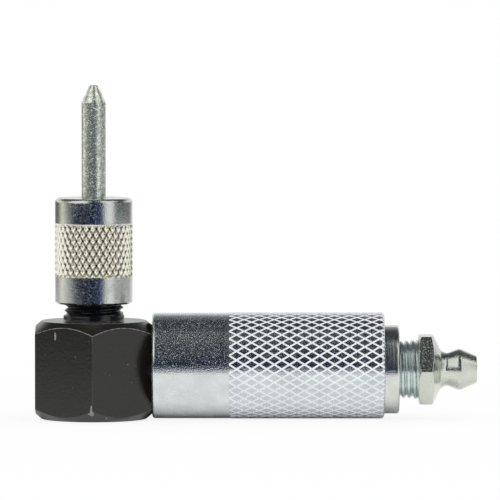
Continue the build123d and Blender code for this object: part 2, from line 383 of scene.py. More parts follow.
def draw_outline(piece: Piece, outline: Outline) -> None:
    """Extrudes a one-point piece along an outline."""
    with editing(piece):
        for (r0, z0), (r1, z1) in zip(outline, outline[1:]):
            step = {"value": (r1 - r0, 0, z1 - z0)}
            bpy.ops.mesh.extrude_vertices_move(TRANSFORM_OT_translate=step)


def turned(name: str, outline: Outline, steps: int = LATHE_STEPS) -> Piece:
    """Turns an outline into a solid about Z, as on a lathe.

    Args:
        name: The piece's name.
        outline: Points as distance from the axis and height. It starts and ends on the axis,
            or its last point is its first.
        steps: The number of faces round the piece.

    Returns:
        The turned piece.
    """
    piece = start_outline(name, *outline[0])
    draw_outline(piece, outline)
    with editing(piece):
        bpy.ops.mesh.spin(steps=steps, angle=FULL_TURN, center=(0, 0, 0), axis=(0, 0, 1))
    clean(piece)
    return piece


def bore_out(piece: Piece, radius: float, low: float, high: float) -> None:
    """Drills a hole along Z from one height to another."""
    way = [(0, low), (radius, low), (radius, high), (0, high)]
    combine(piece, turned("way", way, BORE_STEPS), Cut.DIFFERENCE)


def corner_radius(across_flats: float) -> float:
    """Works out how far a hexagon's corners are from its middle."""
    return across_flats / 2 / math.cos(math.radians(30))


def hexagon_bar(
    name: str, across_flats: float, low: float, high: float, first_corner: float
) -> Piece:
    """Saws a length of hexagon bar, along Z.

    Args:
        name: The piece's name.
        across_flats: The distance between opposite flats.
        low: The height of its lower end.
        high: The height of its upper end.
        first_corner: The angle of one of its corners about Z, in degrees.

    Returns:
        The bar.
    """
    return add_piece(
        name,
        bpy.ops.mesh.primitive_cylinder_add,
        vertices=6,
        radius=corner_radius(across_flats),
        depth=high - low,
        location=(0, 0, (low + high) / 2),
        rotation=(0, 0, math.radians(first_corner - 90)),
    )


def round_edges(piece: Piece, width: float, angle: float, slot: int = -1) -> None:
    """Takes the sharpness off a piece's edges.

    Args:
        piece: The piece.
        width: How far the rounding reaches from the edge.
        angle: The least angle between faces, in degrees, at which an edge counts as sharp.
        slot: The material slot that the rounding gets, or -1 for that of its neighbours.
    """
    reach = {"width": width, "segments": 2, "use_clamp_overlap": False, "material": slot}
    modify(piece, "BEVEL", **reach, limit_method="ANGLE", angle_limit=math.radians(angle))


def lay_on_coupler(piece: Piece, height: float) -> None:
    """Lays a piece that was made about Z on an axis along X, at a height."""
    turn = Matrix(((0, 0, 1, 0), (1, 0, 0, 0), (0, 1, 0, height), (0, 0, 0, 1)))
    piece.data.transform(turn)


def ease(share: float) -> float:
    """Makes a share from 0 to 1 start and end gently."""
    share = min(1.0, max(0.0, share))
    return share * share * (3 - 2 * share)


def paint(piece: Piece, finishes: Sequence[Finish]) -> None:
    """Gives a piece its materials, in the order of its slots."""
    for finish in finishes:
        piece.data.materials.append(finish)


def dress(piece: Piece, body: str, node: str, angle: float = 24) -> None:
    """Shades a finished piece, and makes it ride on a body and stand for a node.

    Args:
        piece: The finished piece.
        body: The body that it rides on.
        node: The node that it stands for.
        angle: The angle in degrees from which an edge stays sharp.
    """
    activate(piece)
    bpy.ops.object.shade_smooth_by_angle(angle=math.radians(angle))
    # Its flats stay flat up to their rounded edges
    modify(piece, "WEIGHTED_NORMAL", keep_sharp=True)
    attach(piece, body)
    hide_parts(node)
    LOG.info("%s: %d faces, rides on %s", piece.name, len(piece.data.polygons), body)


@dataclass(frozen=True)
class Thread:
    """A right-hand pipe thread on a rod.

    Attributes:
        crest: Its radius at the crest, at the shoulder that it runs into.
        far_crest: The same at the other end.
        depth: How far the root is below the crest.
        lead_in: The size of the chamfer at the end away from the shoulder.
        run_out: The length beside the shoulder in which the groove fades away.
        taper_length: The length from the shoulder in which the crest goes to far_crest.
        crest_share: The share of the pitch that the flat crest takes.
        root_share: The share that the flat root takes.
        spare_turns: How many turns are wound beyond the rod's ends, and then cut off.
    """

    crest: float
    far_crest: float
    depth: float = 0.55 * MM
    lead_in: float = 0.5 * MM
    run_out: float = 0.8 * MM
    taper_length: float = 3 * MM
    crest_share: float = 0.1
    root_share: float = 0.1
    spare_turns: int = 3

    def rod(self, name: str, low: float, high: float, shoulder: End) -> Piece:
        """Cuts the thread on a rod about Z.

        Args:
            name: The piece's name.
            low: The height of the rod's lower end.
            high: The height of its upper end.
            shoulder: The end that runs into a shoulder.

        Returns:
            The threaded rod, with flat ends.
        """
        root = self.crest - self.depth
        flat, crest_flat = self.root_share * PIPE_PITCH, self.crest_share * PIPE_PITCH
        flank = (PIPE_PITCH - flat - crest_flat) / 2
        piece = start_outline(name, root, low - self.spare_turns * PIPE_PITCH)
        points = [(root, 0), (root, flat), (self.crest, flat + flank)]
        points += [(self.crest, flat + flank + crest_flat), (root, PIPE_PITCH)]
        draw_outline(piece, points)
        turns = math.ceil((high - low) / PIPE_PITCH) + self.spare_turns + 1
        wind(piece, PIPE_PITCH, turns, THREAD_STEPS)
        clean(piece)
        slice_at(piece, (0, 0, low), (0, 0, -1))
        slice_at(piece, (0, 0, high), (0, 0, 1))
        for vertex in piece.data.vertices:
            height = vertex.co.z
            inland = height - low if shoulder is End.LOW else high - height
            to_end = high - low - inland
            growth = ease(inland / self.taper_length)
            crest = self.crest + (self.far_crest - self.crest) * growth
            below = (self.crest - vertex.co.xy.length) * ease(inland / self.run_out)
            radius = min(crest - below, self.far_crest - self.lead_in + to_end)
            vertex.co.xy = vertex.co.xy.normalized() * radius
        fill_ends(piece)
        clean(piece)
        return piece


@dataclass(frozen=True)
class Knurl:
    """Diamond knurling on a round band.

    Attributes:
        low: Where the knurled band starts along the axis.
        high: Where it ends.
        around: The number of diamonds round the band.
        length: The length of a diamond along the axis.
        radius: The radius over the tops of the diamonds.
        bare_radius: The radius of the smooth surface beside the band.
        depth: How deep the grooves between the diamonds are.
        steps: The groove's wall, as pairs of a share of the diamond's side and a share of
            the depth, from the groove's bottom to the diamond's top.
        fade: How far the grooves take to reach their depth from either end.
        rounding: The radius of the band's corner at its upper end.
        top_slot: The material slot of the diamonds' tops. The grooves have slot 1.
        pit: How much deeper the grooves are where they cross, as a share of their depth.
        pit_reach: The radius of such a pit, as a share of the diamond's side.
        cuts: How many times a diamond is divided, so that it bends round the band.
        margin: The width of the plain ring on both sides that keeps the grooves' shading off
            the smooth surface.
    """

    low: float
    high: float
    around: int
    length: float
    radius: float
    bare_radius: float
    depth: float
    steps: tuple[tuple[float, float], ...]
    fade: float
    rounding: float = 0.0
    top_slot: int = 1
    pit: float = 0.0
    pit_reach: float = 0.34
    cuts: int = 2
    margin: float = 0.08 * MM

    def diamond(self, name: str, finishes: Sequence[Finish]) -> Piece:
        """Models one diamond on a unit square, with its half of the grooves round it.

        Args:
            name: The piece's name.
            finishes: Those of plain surfaces, of grooves, and of tops if it is another.

        Returns:
            The diamond.
        """
        piece = add_piece(name, bpy.ops.mesh.primitive_plane_add, size=1, location=(0.5, 0.5, 0))
        paint(piece, finishes)
        with editing(piece):
            for width, rise in self.steps:
                bpy.ops.mesh.inset(thickness=width, depth=0)
                bpy.ops.transform.translate(value=(0, 0, rise * self.depth))
            mesh = bmesh.from_edit_mesh(piece.data)
            for face in mesh.faces:
                face.material_index = self.top_slot if face.select else 1
            bpy.ops.mesh.select_all(action="SELECT")
            bpy.ops.mesh.subdivide(number_cuts=self.cuts)
        for vertex in piece.data.vertices:
            off_corner = math.hypot(*(min(abs(place), abs(place - 1)) for place in vertex.co.xy))
            vertex.co.z -= self.pit * self.depth * ease(1 - off_corner / self.pit_reach)
        return piece

    def sheet(self, name: str, finishes: Sequence[Finish]) -> Piece:
        """Repeats the diamond along both helices, and trims the sheet to the band's size."""
        piece = self.diamond(name, finishes)
        for offset in ((1, 0, 0), (0, 1, 0)):
            modify(
                piece,
                "ARRAY",
                count=math.ceil((self.high - self.low) / self.length) + self.around + 2,
                use_relative_offset=False,
                use_constant_offset=True,
                constant_offset_displace=offset,
                use_merge_vertices=True,
                merge_threshold=0.001,
            )
        width = FULL_TURN * self.radius / self.around
        first = self.low - self.length * (self.around / 2 + 1)
        slant = Matrix(
            (
                (self.length / 2, self.length / 2, 0, first),
                (width / 2, -width / 2, 0, width * self.around / 2),
                (0, 0, 1, -self.depth),
                (0, 0, 0, 1),
            )
        )
        piece.data.transform(slant)
        slice_at(piece, (self.low, 0, 0), (-1, 0, 0))
        slice_at(piece, (self.high, 0, 0), (1, 0, 0))
        slice_at(piece, (0, 0, 0), (0, -1, 0))
        slice_at(piece, (0, width * self.around, 0), (0, 1, 0))
        rings = [self.low + self.fade, self.high - self.fade]
        if self.rounding:
            rings += [self.high - self.rounding * share for share in (1, 0.7, 0.45, 0.25, 0.1)]
        for ring in rings:
            slice_at(piece, (ring, 0, 0), (1, 0, 0), keep=True)
        return piece

    def band(self, name: str, finishes: Sequence[Finish]) -> Piece:
        """Rolls the knurled sheet into a band about Z, open at both ends.

        Args:
            name: The piece's name.
            finishes: Those of plain surfaces, of grooves, and of tops if it is another.

        Returns:
            The band. Its upper edge is rounded inwards by the rounding. Its hollow attribute
            says how deep each point is, with 1 at the bottom of a groove.
        """
        piece = self.sheet(name, finishes)
        hollow = piece.data.attributes.new("hollow", "FLOAT", "POINT")
        for vertex in piece.data.vertices:
            place, sideways, height = vertex.co
            share = ease((place - self.low) / self.fade) * ease((self.high - place) / self.fade)
            past = min(self.rounding, max(0.0, place - self.high + self.rounding))
            drop = self.rounding - math.sqrt(self.rounding**2 - past**2)
            radius = self.bare_radius + share * (self.radius + height - self.bare_radius) - drop
            hollow.data[vertex.index].value = -share * height / self.depth
            angle = sideways / self.radius
            vertex.co = (radius * math.cos(angle), radius * math.sin(angle), place)
        clean(piece)
        return piece

    def ring(self, name: str, finishes: Sequence[Finish], below: Outline, above: Outline) -> Piece:
        """Makes a knurled ring about Z: the band, and the plain surface round to its bore.

        Args:
            name: The piece's name.
            finishes: Those of plain surfaces, of grooves, and of tops if it is another.
            below: Distance from the axis and height of each step away from the band's foot.
            above: The same from its top on, and through the bore.

        Returns:
            The closed ring, with the first finish on all that lies off the band.
        """
        piece = self.band(name, finishes)
        draw_out(piece, self.low, below)
        draw_out(piece, self.high, above)
        close_band(piece)
        least = self.bare_radius - 2 * self.depth
        for face in piece.data.polygons:
            beside = not self.low < face.center.z < self.high
            if beside or face.center.xy.length < least:
                face.material_index = 0
        return piece


def draw_out(piece: Piece, level: float, rings: Outline) -> None:
    """Extrudes the open edge at one height of a band, ring by ring.

    Args:
        piece: The band, open at that height.
        level: The height of the open edge.
        rings: Distance from the axis and height of each new ring.
    """
    with editing(piece, everything=False) as mesh:
        bpy.ops.mesh.select_mode(type="EDGE")
        for edge in mesh.edges:
            here = all(abs(v.co.z - level) < MICRON for v in edge.verts)
            edge.select_set(edge.is_boundary and here)
        bmesh.update_edit_mesh(piece.data)
        for radius, height in rings:
            step = {"value": (0, 0, height - level)}
            bpy.ops.mesh.extrude_edges_move(TRANSFORM_OT_translate=step)
            mesh = bmesh.from_edit_mesh(piece.data)
            for vertex in (v for v in mesh.verts if v.select):
                vertex.co.xy = vertex.co.xy.normalized() * radius
            bmesh.update_edit_mesh(piece.data)
            level = height
        bpy.ops.mesh.select_mode(type="VERT")


def close_band(piece: Piece) -> None:
    """Joins the two open edges that a band still has."""
    with editing(piece, everything=False) as mesh:
        bpy.ops.mesh.select_mode(type="EDGE")
        for edge in mesh.edges:
            edge.select_set(edge.is_boundary)
        bmesh.update_edit_mesh(piece.data)
        bpy.ops.mesh.bridge_edge_loops()
        bpy.ops.mesh.select_mode(type="VERT")
    clean(piece)


@dataclass(frozen=True)
class ZincPlate:
    """Bright electroplated zinc: a pale mirror whose crystal grain breaks it into sparkles.

    Attributes:
        name: The material's name.
        colour: The plate's colour.
        deeper: The colour of its duller patches.
        metallic: 1 for a clean plate, or less for one that is frosted by a rough surface.
        frost: How much of the mirror the dull crystals in the plate take away.
        frost_size: The size of those crystals. The real ones are half as large.
        patch: The size of the duller patches.
        groove: The colour painted at the bottom of knurled grooves as painted shade, or none for
            the plate's own.
        pit: The darker colour painted where such grooves cross, as painted shade. It is given
            together with groove.
        smoothest: The least roughness.
        dullest: The most roughness.
        grain: The size of the plate's grain. The real one is finer than the picture can show.
        relief: How deep the grain is.
        stretch: How much shorter the grain is along Z than round it.
        marks: The axis that its turning marks go round.
        mark_spacing: The distance between the marks.
    """

    name: str
    colour: str = "dadfdf"
    deeper: str = "d0d6d6"
    metallic: float = 1.0
    frost: float = 0.0
    frost_size: float = 0.17 * MM
    patch: float = 2.4 * MM
    groove: str = ""
    pit: str = ""
    smoothest: float = 0.07
    dullest: float = 0.13
    grain: float = 0.2 * MM
    relief: float = 0.03 * MM
    stretch: float = 1.0
    marks: Marks = Marks.NONE
    mark_spacing: float = 0.14 * MM

    def make(self) -> Finish:
        """Builds the material."""
        material, add, shader = new_material(self.name, {"Metallic": self.metallic})
        place = add("TexCoord", out="Object")
        patches = add("TexNoise", {"Scale": 1 / self.patch, "Detail": 3.0}, {"Vector": place})
        contrast = add("MapRange", {"From Min": 0.35, "From Max": 0.65}, {0: patches})
        tints = {"data_type": "RGBA", 6: linear(self.colour), 7: linear(self.deeper)}
        tint = add("Mix", tints, {0: contrast}, 2)
        # Painted shade in knurled grooves, and darker painted shade where they cross
        if self.groove:
            tint = self.paint_groove_shade(add, tint)
        if self.frost:
            feed(shader, {"Metallic": self.crystals(add, place)})
        wear = {"From Min": 0.3, "From Max": 0.7, "To Min": self.smoothest, "To Max": self.dullest}
        rough = add("MapRange", wear, {0: patches})
        flattened = add("Mapping", {"Scale": (1, 1, self.stretch)}, {"Vector": place})
        size = {"Scale": 1 / self.grain, "Detail": 2.0, "Roughness": 0.6}
        grain = add("TexNoise", size, {"Vector": flattened})
        bump = add("Bump", {"Distance": self.relief}, {"Height": grain})
        if self.marks is not Marks.NONE:
            along = add("SeparateXYZ", links={0: place}, out=self.marks.value)
            size = {"noise_dimensions": "1D", "Scale": 1 / self.mark_spacing, "Detail": 2.0}
            rings = add("TexNoise", size, {"W": along})
            bump = add("Bump", {"Distance": 0.5 * self.relief}, {"Height": rings, "Normal": bump})
        feed(shader, {"Base Color": tint, "Roughness": rough, "Normal": bump})
        return material

    def crystals(self, add: AddNode, place: Socket) -> Socket:
        """Adds the dull crystals that glitter where the plate mirrors something dark."""
        specks = add("TexNoise", {"Scale": 1 / self.frost_size, "Detail": 2.0}, {"Vector": place})
        sparse = {"From Min": 0.54, "From Max": 0.68}
        dulled = {"To Min": self.metallic, "To Max": self.metallic - self.frost}
        return add("MapRange", sparse | dulled, {0: specks})

    def paint_groove_shade(self, add: AddNode, tint: Socket) -> Socket:
        """Paints shade into the grooves of knurling, and darker shade into the pits where they
        cross.
        """
        hollow = add("Attribute", {"attribute_name": "hollow"}, out="Fac")
        for code, first, last in ((self.groove, 0.4, 1.0), (self.pit, 1.06, 1.28)):
            share = add("MapRange", {"From Min": first, "From Max": last}, {0: hollow})
            tint = add("Mix", {"data_type": "RGBA", 7: linear(code)}, {0: share, 6: tint}, 2)
        return tint


@dataclass(frozen=True)
class Nick:
    """A place on the side that faces -Y where a knock has bared the steel.

    Attributes:
        x: The place of its middle along the coupler.
        z: The height of its middle.
        half_width: How far it reaches to either side.
        half_height: How far it reaches up and down.
        bareness: How much of the layer is gone.
    """

    x: float
    z: float
    half_width: float
    half_height: float
    bareness: float = 1.0

    def mask(self, add: AddNode, place: Socket, mottle: Socket) -> Socket:
        """Adds the nick, with an edge that the mottle makes ragged."""
        centred = add("VectorMath", {"operation": "SUBTRACT", 1: (self.x, 0, self.z)}, {0: place})
        size = {"operation": "MULTIPLY", 1: (1 / self.half_width, 0, 1 / self.half_height)}
        scaled = add("VectorMath", size, {0: centred})
        off = add("VectorMath", {"operation": "LENGTH"}, {0: scaled}, "Value")
        ragged = add("Math", {"operation": "MULTIPLY_ADD", 1: 2.0}, {0: mottle, 2: off})
        inside = {"From Min": 2.15, "From Max": 1.85, "To Max": self.bareness}
        return add("MapRange", inside, {0: ragged})


@dataclass(frozen=True)
class BlackOxide:
    """Hot black oxide on steel: a thin black layer, satin or glossy, that edges rub through.

    Attributes:
        name: The material's name.
        colour: The layer's colour.
        pale: The colour of its paler mottle.
        bare: The colour of the steel where the layer is worn off.
        roughness: How dull the layer is.
        mottling: The size of its mottle.
        relief: How deep the mottle is.
        pin_holes: The size of the sparse holes in the layer.
        worn_high: What share is worn off near worn_top.
        worn_low: What share is worn off lower down.
        worn_top: The height where most handling rubs it.
        nicks: Places where knocks have bared the steel.
    """

    name: str
    colour: str = "1b1a18"
    pale: str = "22201d"
    bare: str = "8f8f8c"
    roughness: float = 0.22
    mottling: float = 0.5 * MM
    relief: float = 0.02 * MM
    pin_holes: float = 0.22 * MM
    worn_high: float = 0.0
    worn_low: float = 0.0
    worn_top: float = 14.5 * MM
    nicks: tuple[Nick, ...] = ()

    def make(self) -> Finish:
        """Builds the material."""
        material, add, shader = new_material(self.name, {"Roughness": self.roughness})
        place = add("TexCoord", out="Object")
        mottle = add("TexNoise", {"Scale": 1 / self.mottling, "Detail": 5.0}, {"Vector": place})
        bared = self.specks(add, place)
        worn = [self.rubbed(add, place, mottle)] if self.worn_high else []
        for mask in worn + [nick.mask(add, place, mottle) for nick in self.nicks]:
            bared = add("Math", {"operation": "MAXIMUM"}, {0: bared, 1: mask})
        tints = {"data_type": "RGBA", 6: linear(self.colour), 7: linear(self.pale)}
        tint = add("Mix", tints, {0: mottle}, 2)
        tint = add("Mix", {"data_type": "RGBA", 7: linear(self.bare)}, {0: bared, 6: tint}, 2)
        bump = add("Bump", {"Distance": self.relief}, {"Height": mottle})
        feed(shader, {"Base Color": tint, "Normal": bump})
        return material

    def specks(self, add: AddNode, place: Socket) -> Socket:
        """Adds sparse pin holes in the layer."""
        grit = add("TexNoise", {"Scale": 1 / self.pin_holes, "Detail": 0.0}, {"Vector": place})
        return add("MapRange", {"From Min": 0.8, "From Max": 0.87, "To Max": 0.35}, {0: grit})

    def rubbed(self, add: AddNode, place: Socket, mottle: Socket) -> Socket:
        """Adds the wear along an edge, most of it high on the piece."""
        height = add("SeparateXYZ", links={0: place}, out="Z")
        rise = {"From Min": self.worn_top - 2 * MM, "From Max": self.worn_top}
        shares = {"To Min": self.worn_low, "To Max": self.worn_high}
        wear = add("MapRange", rise | shares, {0: height})
        foot = {"From Min": 1.5 * MM, "From Max": 3.5 * MM, "To Min": 0.25}
        spared = add("MapRange", foot, {0: height})
        steeper = {"operation": "MULTIPLY_ADD", "use_clamp": True, 1: 5.0, 2: -2.0}
        patches = add("Math", steeper, {0: mottle})
        uneven = add("Math", {"operation": "MULTIPLY_ADD", 1: 0.7, 2: 0.3}, {0: patches})
        for share in (spared, uneven):
            wear = add("Math", {"operation": "MULTIPLY"}, {0: wear, 1: share})
        return wear


@dataclass(frozen=True)
class PlainFinish:
    """A bare metal, or a moulding, that mostly hides inside the coupler.

    Attributes:
        name: The material's name.
        colour: Its colour.
        metallic: 1 for a metal.
        roughness: Its roughness.
        cloud: The size of its faint clouds of tone.
    """

    name: str
    colour: str
    metallic: float = 1.0
    roughness: float = 0.3
    cloud: float = 0.8 * MM

    def make(self) -> Finish:
        """Builds the material."""
        constants = {"Metallic": self.metallic, "Roughness": self.roughness}
        material, add, shader = new_material(self.name, constants)
        place = add("TexCoord", out="Object")
        cloud = add("TexNoise", {"Scale": 1 / self.cloud, "Detail": 3.0}, {"Vector": place})
        tones = {"data_type": "RGBA", 6: linear(self.colour), 7: linear(self.colour, 0.75)}
        tint = add("Mix", tones, {0: cloud}, 2)
        bump = add("Bump", {"Distance": 3 * MICRON}, {"Height": cloud})
        feed(shader, {"Base Color": tint, "Normal": bump})
        return material


@dataclass
class Elbow:
    """The hexagon elbow that stands on its end, with a threaded neck on top."""

    across_flats: float = 19.05 * MM
    height: float = 16.1 * MM
    face_radius: float = 8.6 * MM
    chamfer_angle: float = 39.0
    root_fillet: float = 0.3 * MM
    shoulder_radius: float = 5.0 * MM
    shoulder_height: float = 0.9 * MM
    neck_radius: float = 4.86 * MM
    grease_way: float = 1.5 * MM
    port_radius: float = 4.88 * MM
    port_depth: float = 7.2 * MM
    worn_edge: float = 0.07 * MM
    stock: tuple[float, float] = (-5 * MM, 25 * MM)
    neck_from: float = 16.15 * MM

    def blank(self) -> Piece:
        """Turns the hexagon's chamfered ends and the neck's shoulder."""
        corner = corner_radius(self.across_flats) + BITE
        drop = (corner - self.face_radius) * math.tan(math.radians(self.chamfer_angle))
        foot = self.shoulder_radius + self.root_fillet
        outline = [(0, 0), (self.face_radius, 0), (corner, drop), (corner, self.height - drop)]
        outline += [(self.face_radius, self.height), (foot, self.height)]
        outline += arc((foot, self.height + self.root_fillet), self.root_fillet, 270, 180, 4)
        top = self.height + self.shoulder_height
        outline += [(self.shoulder_radius, top), (0, top)]
        return turned("hexagon_elbow", outline)

    def build(self, finishes: Sequence[Finish]) -> None:
        """Models the elbow in the place of its solid."""
        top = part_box("elbow_body")[1].z
        piece = self.blank()
        paint(piece, finishes)
        # The bar is longer than the blank at both ends
        bar = hexagon_bar("bar", self.across_flats, *self.stock, 30)
        combine(piece, bar, Cut.INTERSECT)
        round_edges(piece, self.worn_edge, 20, 1)
        # Where three edges meet the rounding can stand proud of the bar's corner
        corner = corner_radius(self.across_flats)
        for vertex in piece.data.vertices:
            vertex.co.y = min(corner, max(-corner, vertex.co.y))
        thread = Thread(self.neck_radius, self.neck_radius)
        root = self.height + self.shoulder_height - BITE
        combine(piece, thread.rod("neck", root, top, End.LOW), Cut.UNION)
        for face in piece.data.polygons:
            if face.center.z > self.neck_from:
                face.material_index = 2
        bore_out(piece, self.grease_way, self.height / 2 - self.grease_way, top + MM)
        flat = self.across_flats / 2
        step = flat - self.port_depth
        port = cylinders((self.grease_way, 0, step), (self.port_radius, step, flat + MM))
        tool = turned("port", [(0, 0), *port, (0, flat + MM)], ROD_STEPS)
        lay_on_coupler(tool, self.height / 2)
        combine(piece, tool, Cut.DIFFERENCE)
        dress(piece, "head", "elbow_body")


@dataclass
class NeedleCap:
    """The long knurled nut that holds the needle down on the neck."""

    radius: float = 6.36 * MM
    knurl_rise: float = 0.06 * MM
    knurl_start: float = 4.5 * MM
    knurl_length: float = 8.7 * MM
    base_chamfer: float = 0.3 * MM
    mouth_chamfer: float = 0.3 * MM
    top_fillet: float = 0.75 * MM
    bore: float = 4.91 * MM
    bore_top: float = 26.3 * MM
    room: float = 3.615 * MM
    room_top: float = 27.7 * MM
    hole: float = 2.265 * MM

    def build(self, finishes: Sequence[Finish]) -> None:
        """Models the cap in the place of its solid."""
        low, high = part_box("needle_cap")
        knurl = Knurl(
            low=low.z + self.knurl_start,
            high=low.z + self.knurl_start + self.knurl_length,
            around=34,
            length=2.0 * MM,
            radius=self.radius + self.knurl_rise,
            bare_radius=self.radius,
            depth=0.34 * MM,
            steps=((0.16, 0.48), (0.14, 0.32), (0.12, 0.2)),
            fade=0.25 * MM,
            pit=0.6,
        )
        chamfer, mouth, fillet = self.base_chamfer, self.mouth_chamfer, self.top_fillet
        below = [(self.radius, knurl.low - knurl.margin), (self.radius, low.z + chamfer)]
        below += [(self.radius - chamfer, low.z)]
        above = [(self.radius, knurl.high + knurl.margin)]
        above += arc((self.radius - fillet, high.z - fillet), fillet, 0, 90, 8)
        above += cylinders(
            (self.hole, high.z, self.room_top),
            (self.room, self.room_top, self.bore_top),
            (self.bore, self.bore_top, low.z + mouth),
        )
        above += [(self.bore + mouth, low.z)]
        piece = knurl.ring("knurled_cap", finishes, below, above)
        dress(piece, "cap", "needle_cap")


@dataclass
class Needle:
    """The drilled needle with its conical tip."""

    base: float = 26.3 * MM
    collar: float = 3.6 * MM
    collar_height: float = 1.4 * MM
    seat: float = 2.25 * MM
    seat_top: float = 36.25 * MM
    shank: float = 1.985 * MM
    tip_length: float = 2.8 * MM
    tip: float = 0.66 * MM
    bore: float = 0.6 * MM
    outlet: float = 0.35 * MM
    outlet_depth: float = 3.4 * MM

    def build(self, finish: Finish) -> None:
        """Models the needle in the place of its solid."""
        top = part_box("needle")[1].z
        collar_top = self.base + self.collar_height
        outside = [(self.bore, self.base)]
        outside += cylinders(
            (self.collar, self.base, collar_top),
            (self.seat, collar_top, self.seat_top),
            (self.shank, self.seat_top, top - self.tip_length),
        )
        outside += [(self.tip, top), (self.outlet, top)]
        outline = rounded(outside, [0, 0, 0, 0, 0, 0.4 * MM, 0.12 * MM])
        outline += [(self.outlet, top - self.outlet_depth), (self.bore, top - self.outlet_depth)]
        piece = turned("needle_rod", [*outline, outline[0]], ROD_STEPS)
        paint(piece, [finish])
        dress(piece, "needle", "needle")


@dataclass
class Sleeve:
    """The loose sleeve: a smooth band for the fingers, and knurling up to the right end."""

    smooth_length: float = 12.9 * MM
    knurl_overlap: float = 0.3 * MM
    knurl_rise: float = 0.05 * MM
    wall: float = 0.65 * MM
    edge_radius: float = 0.5 * MM
    land_start: float = 5.0 * MM
    land_width: float = 5.8 * MM
    land_radius: float = 6.35 * MM
    land_lead_in: float = 0.3 * MM

    def build(self, finishes: Sequence[Finish]) -> None:
        """Models the sleeve in the place of its solid."""
        low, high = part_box("sleeve")
        over_knurl = (high.z - low.z) / 2
        outside = over_knurl - self.knurl_rise
        bore = outside - self.wall
        start, end = low.x, high.x
        knurl = Knurl(
            low=start + self.smooth_length - self.knurl_overlap,
            high=end,
            around=37,
            length=2.46 * MM,
            radius=over_knurl,
            bare_radius=outside,
            depth=0.1 * MM,
            steps=((0.115, 1.0),),
            fade=0.6 * MM,
            rounding=self.edge_radius,
            top_slot=2,
        )
        edge = self.edge_radius
        below = [(outside, knurl.low - knurl.margin)]
        below += arc((outside - edge, start + edge), edge, 0, -90)
        land_start = start + self.land_start
        land_end = land_start + self.land_width
        inside = cylinders(
            (bore, end, land_end), (self.land_radius, land_end, land_start + self.land_lead_in)
        )
        inside += [(self.land_radius + self.land_lead_in, land_start)]
        inside += cylinders((bore, land_start, start))
        piece = knurl.ring("knurled_sleeve", finishes, below, inside)
        lay_on_coupler(piece, (low.z + high.z) / 2)
        dress(piece, "sleeve", "sleeve")


@dataclass
class Barrel:
    """The socket of the quick coupler. The end of its flange stands out of the sleeve."""

    radius: float = 5.6 * MM
    bore: float = 3.75 * MM
    edge_chamfer: float = 0.3 * MM
    flange_start: float = 33.375 * MM
    flange_radius: float = 7.25 * MM
    end_round: float = 0.45 * MM
    ring_groove: tuple[float, float] = (13.525 * MM, 14.525 * MM)
    ring_groove_radius: float = 5.0 * MM
    seal_groove: tuple[float, float] = (21.075 * MM, 22.755 * MM)
    seal_groove_radius: float = 4.76 * MM
    bore_end: float = 24.255 * MM
    passage: float = 1.5 * MM
    inlet_port: float = 4.7 * MM
    inlet_depth: float = 7.5 * MM
    ball_x: float = 17.8875 * MM
    ball_hole: float = 1.5775 * MM
    ball_hole_draft: float = 6.0
    axis_height: float = 8.05 * MM

    def build(self, finish: Finish) -> None:
        """Models the barrel in the place of its solid."""
        low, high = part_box("barrel")
        start, end = low.x, high.x
        groove, seal, edge = self.ring_groove, self.seal_groove, self.edge_chamfer
        outline = [(self.bore, start), (self.radius - edge, start)]
        outline += cylinders(
            (self.radius, start + edge, groove[0]),
            (self.ring_groove_radius, *groove),
            (self.radius, groove[1], self.flange_start),
        )
        outline += [(self.flange_radius, self.flange_start)]
        corner = self.end_round
        outline += arc((self.flange_radius - corner, end - corner), corner, 0, 90, 6)
        port = end - self.inlet_depth
        outline += cylinders(
            (self.inlet_port, end, port),
            (self.passage, port, self.bore_end),
            (self.bore, self.bore_end, seal[1]),
            (self.seal_groove_radius, *seal[::-1]),
        )
        outline += [(self.bore, seal[0])]
        piece = turned("barrel_socket", [*outline, outline[0]])
        lay_on_coupler(piece, self.axis_height)
        self.drill_ball_holes(piece)
        paint(piece, [finish])
        dress(piece, "barrel", "barrel")

    def drill_ball_holes(self, piece: Piece) -> None:
        """Drills the six tapered holes that the lock balls sit in."""
        reach = self.radius + MM
        spread = (reach - self.bore) * math.tan(math.radians(self.ball_hole_draft))
        outline = [(0, MM), (self.ball_hole, MM), (self.ball_hole, self.bore)]
        outline += [(self.ball_hole + spread, reach), (0, reach)]
        for number in range(6):
            drill = turned("drill", outline, DRILL_STEPS)
            # Ball 1 lies towards +Y, and the others follow round towards +Z
            turn = Matrix.Rotation(math.radians(60 * number - 90), 4, "X")
            drill.data.transform(Matrix.Translation((self.ball_x, 0, self.axis_height)) @ turn)
            combine(piece, drill, Cut.DIFFERENCE)


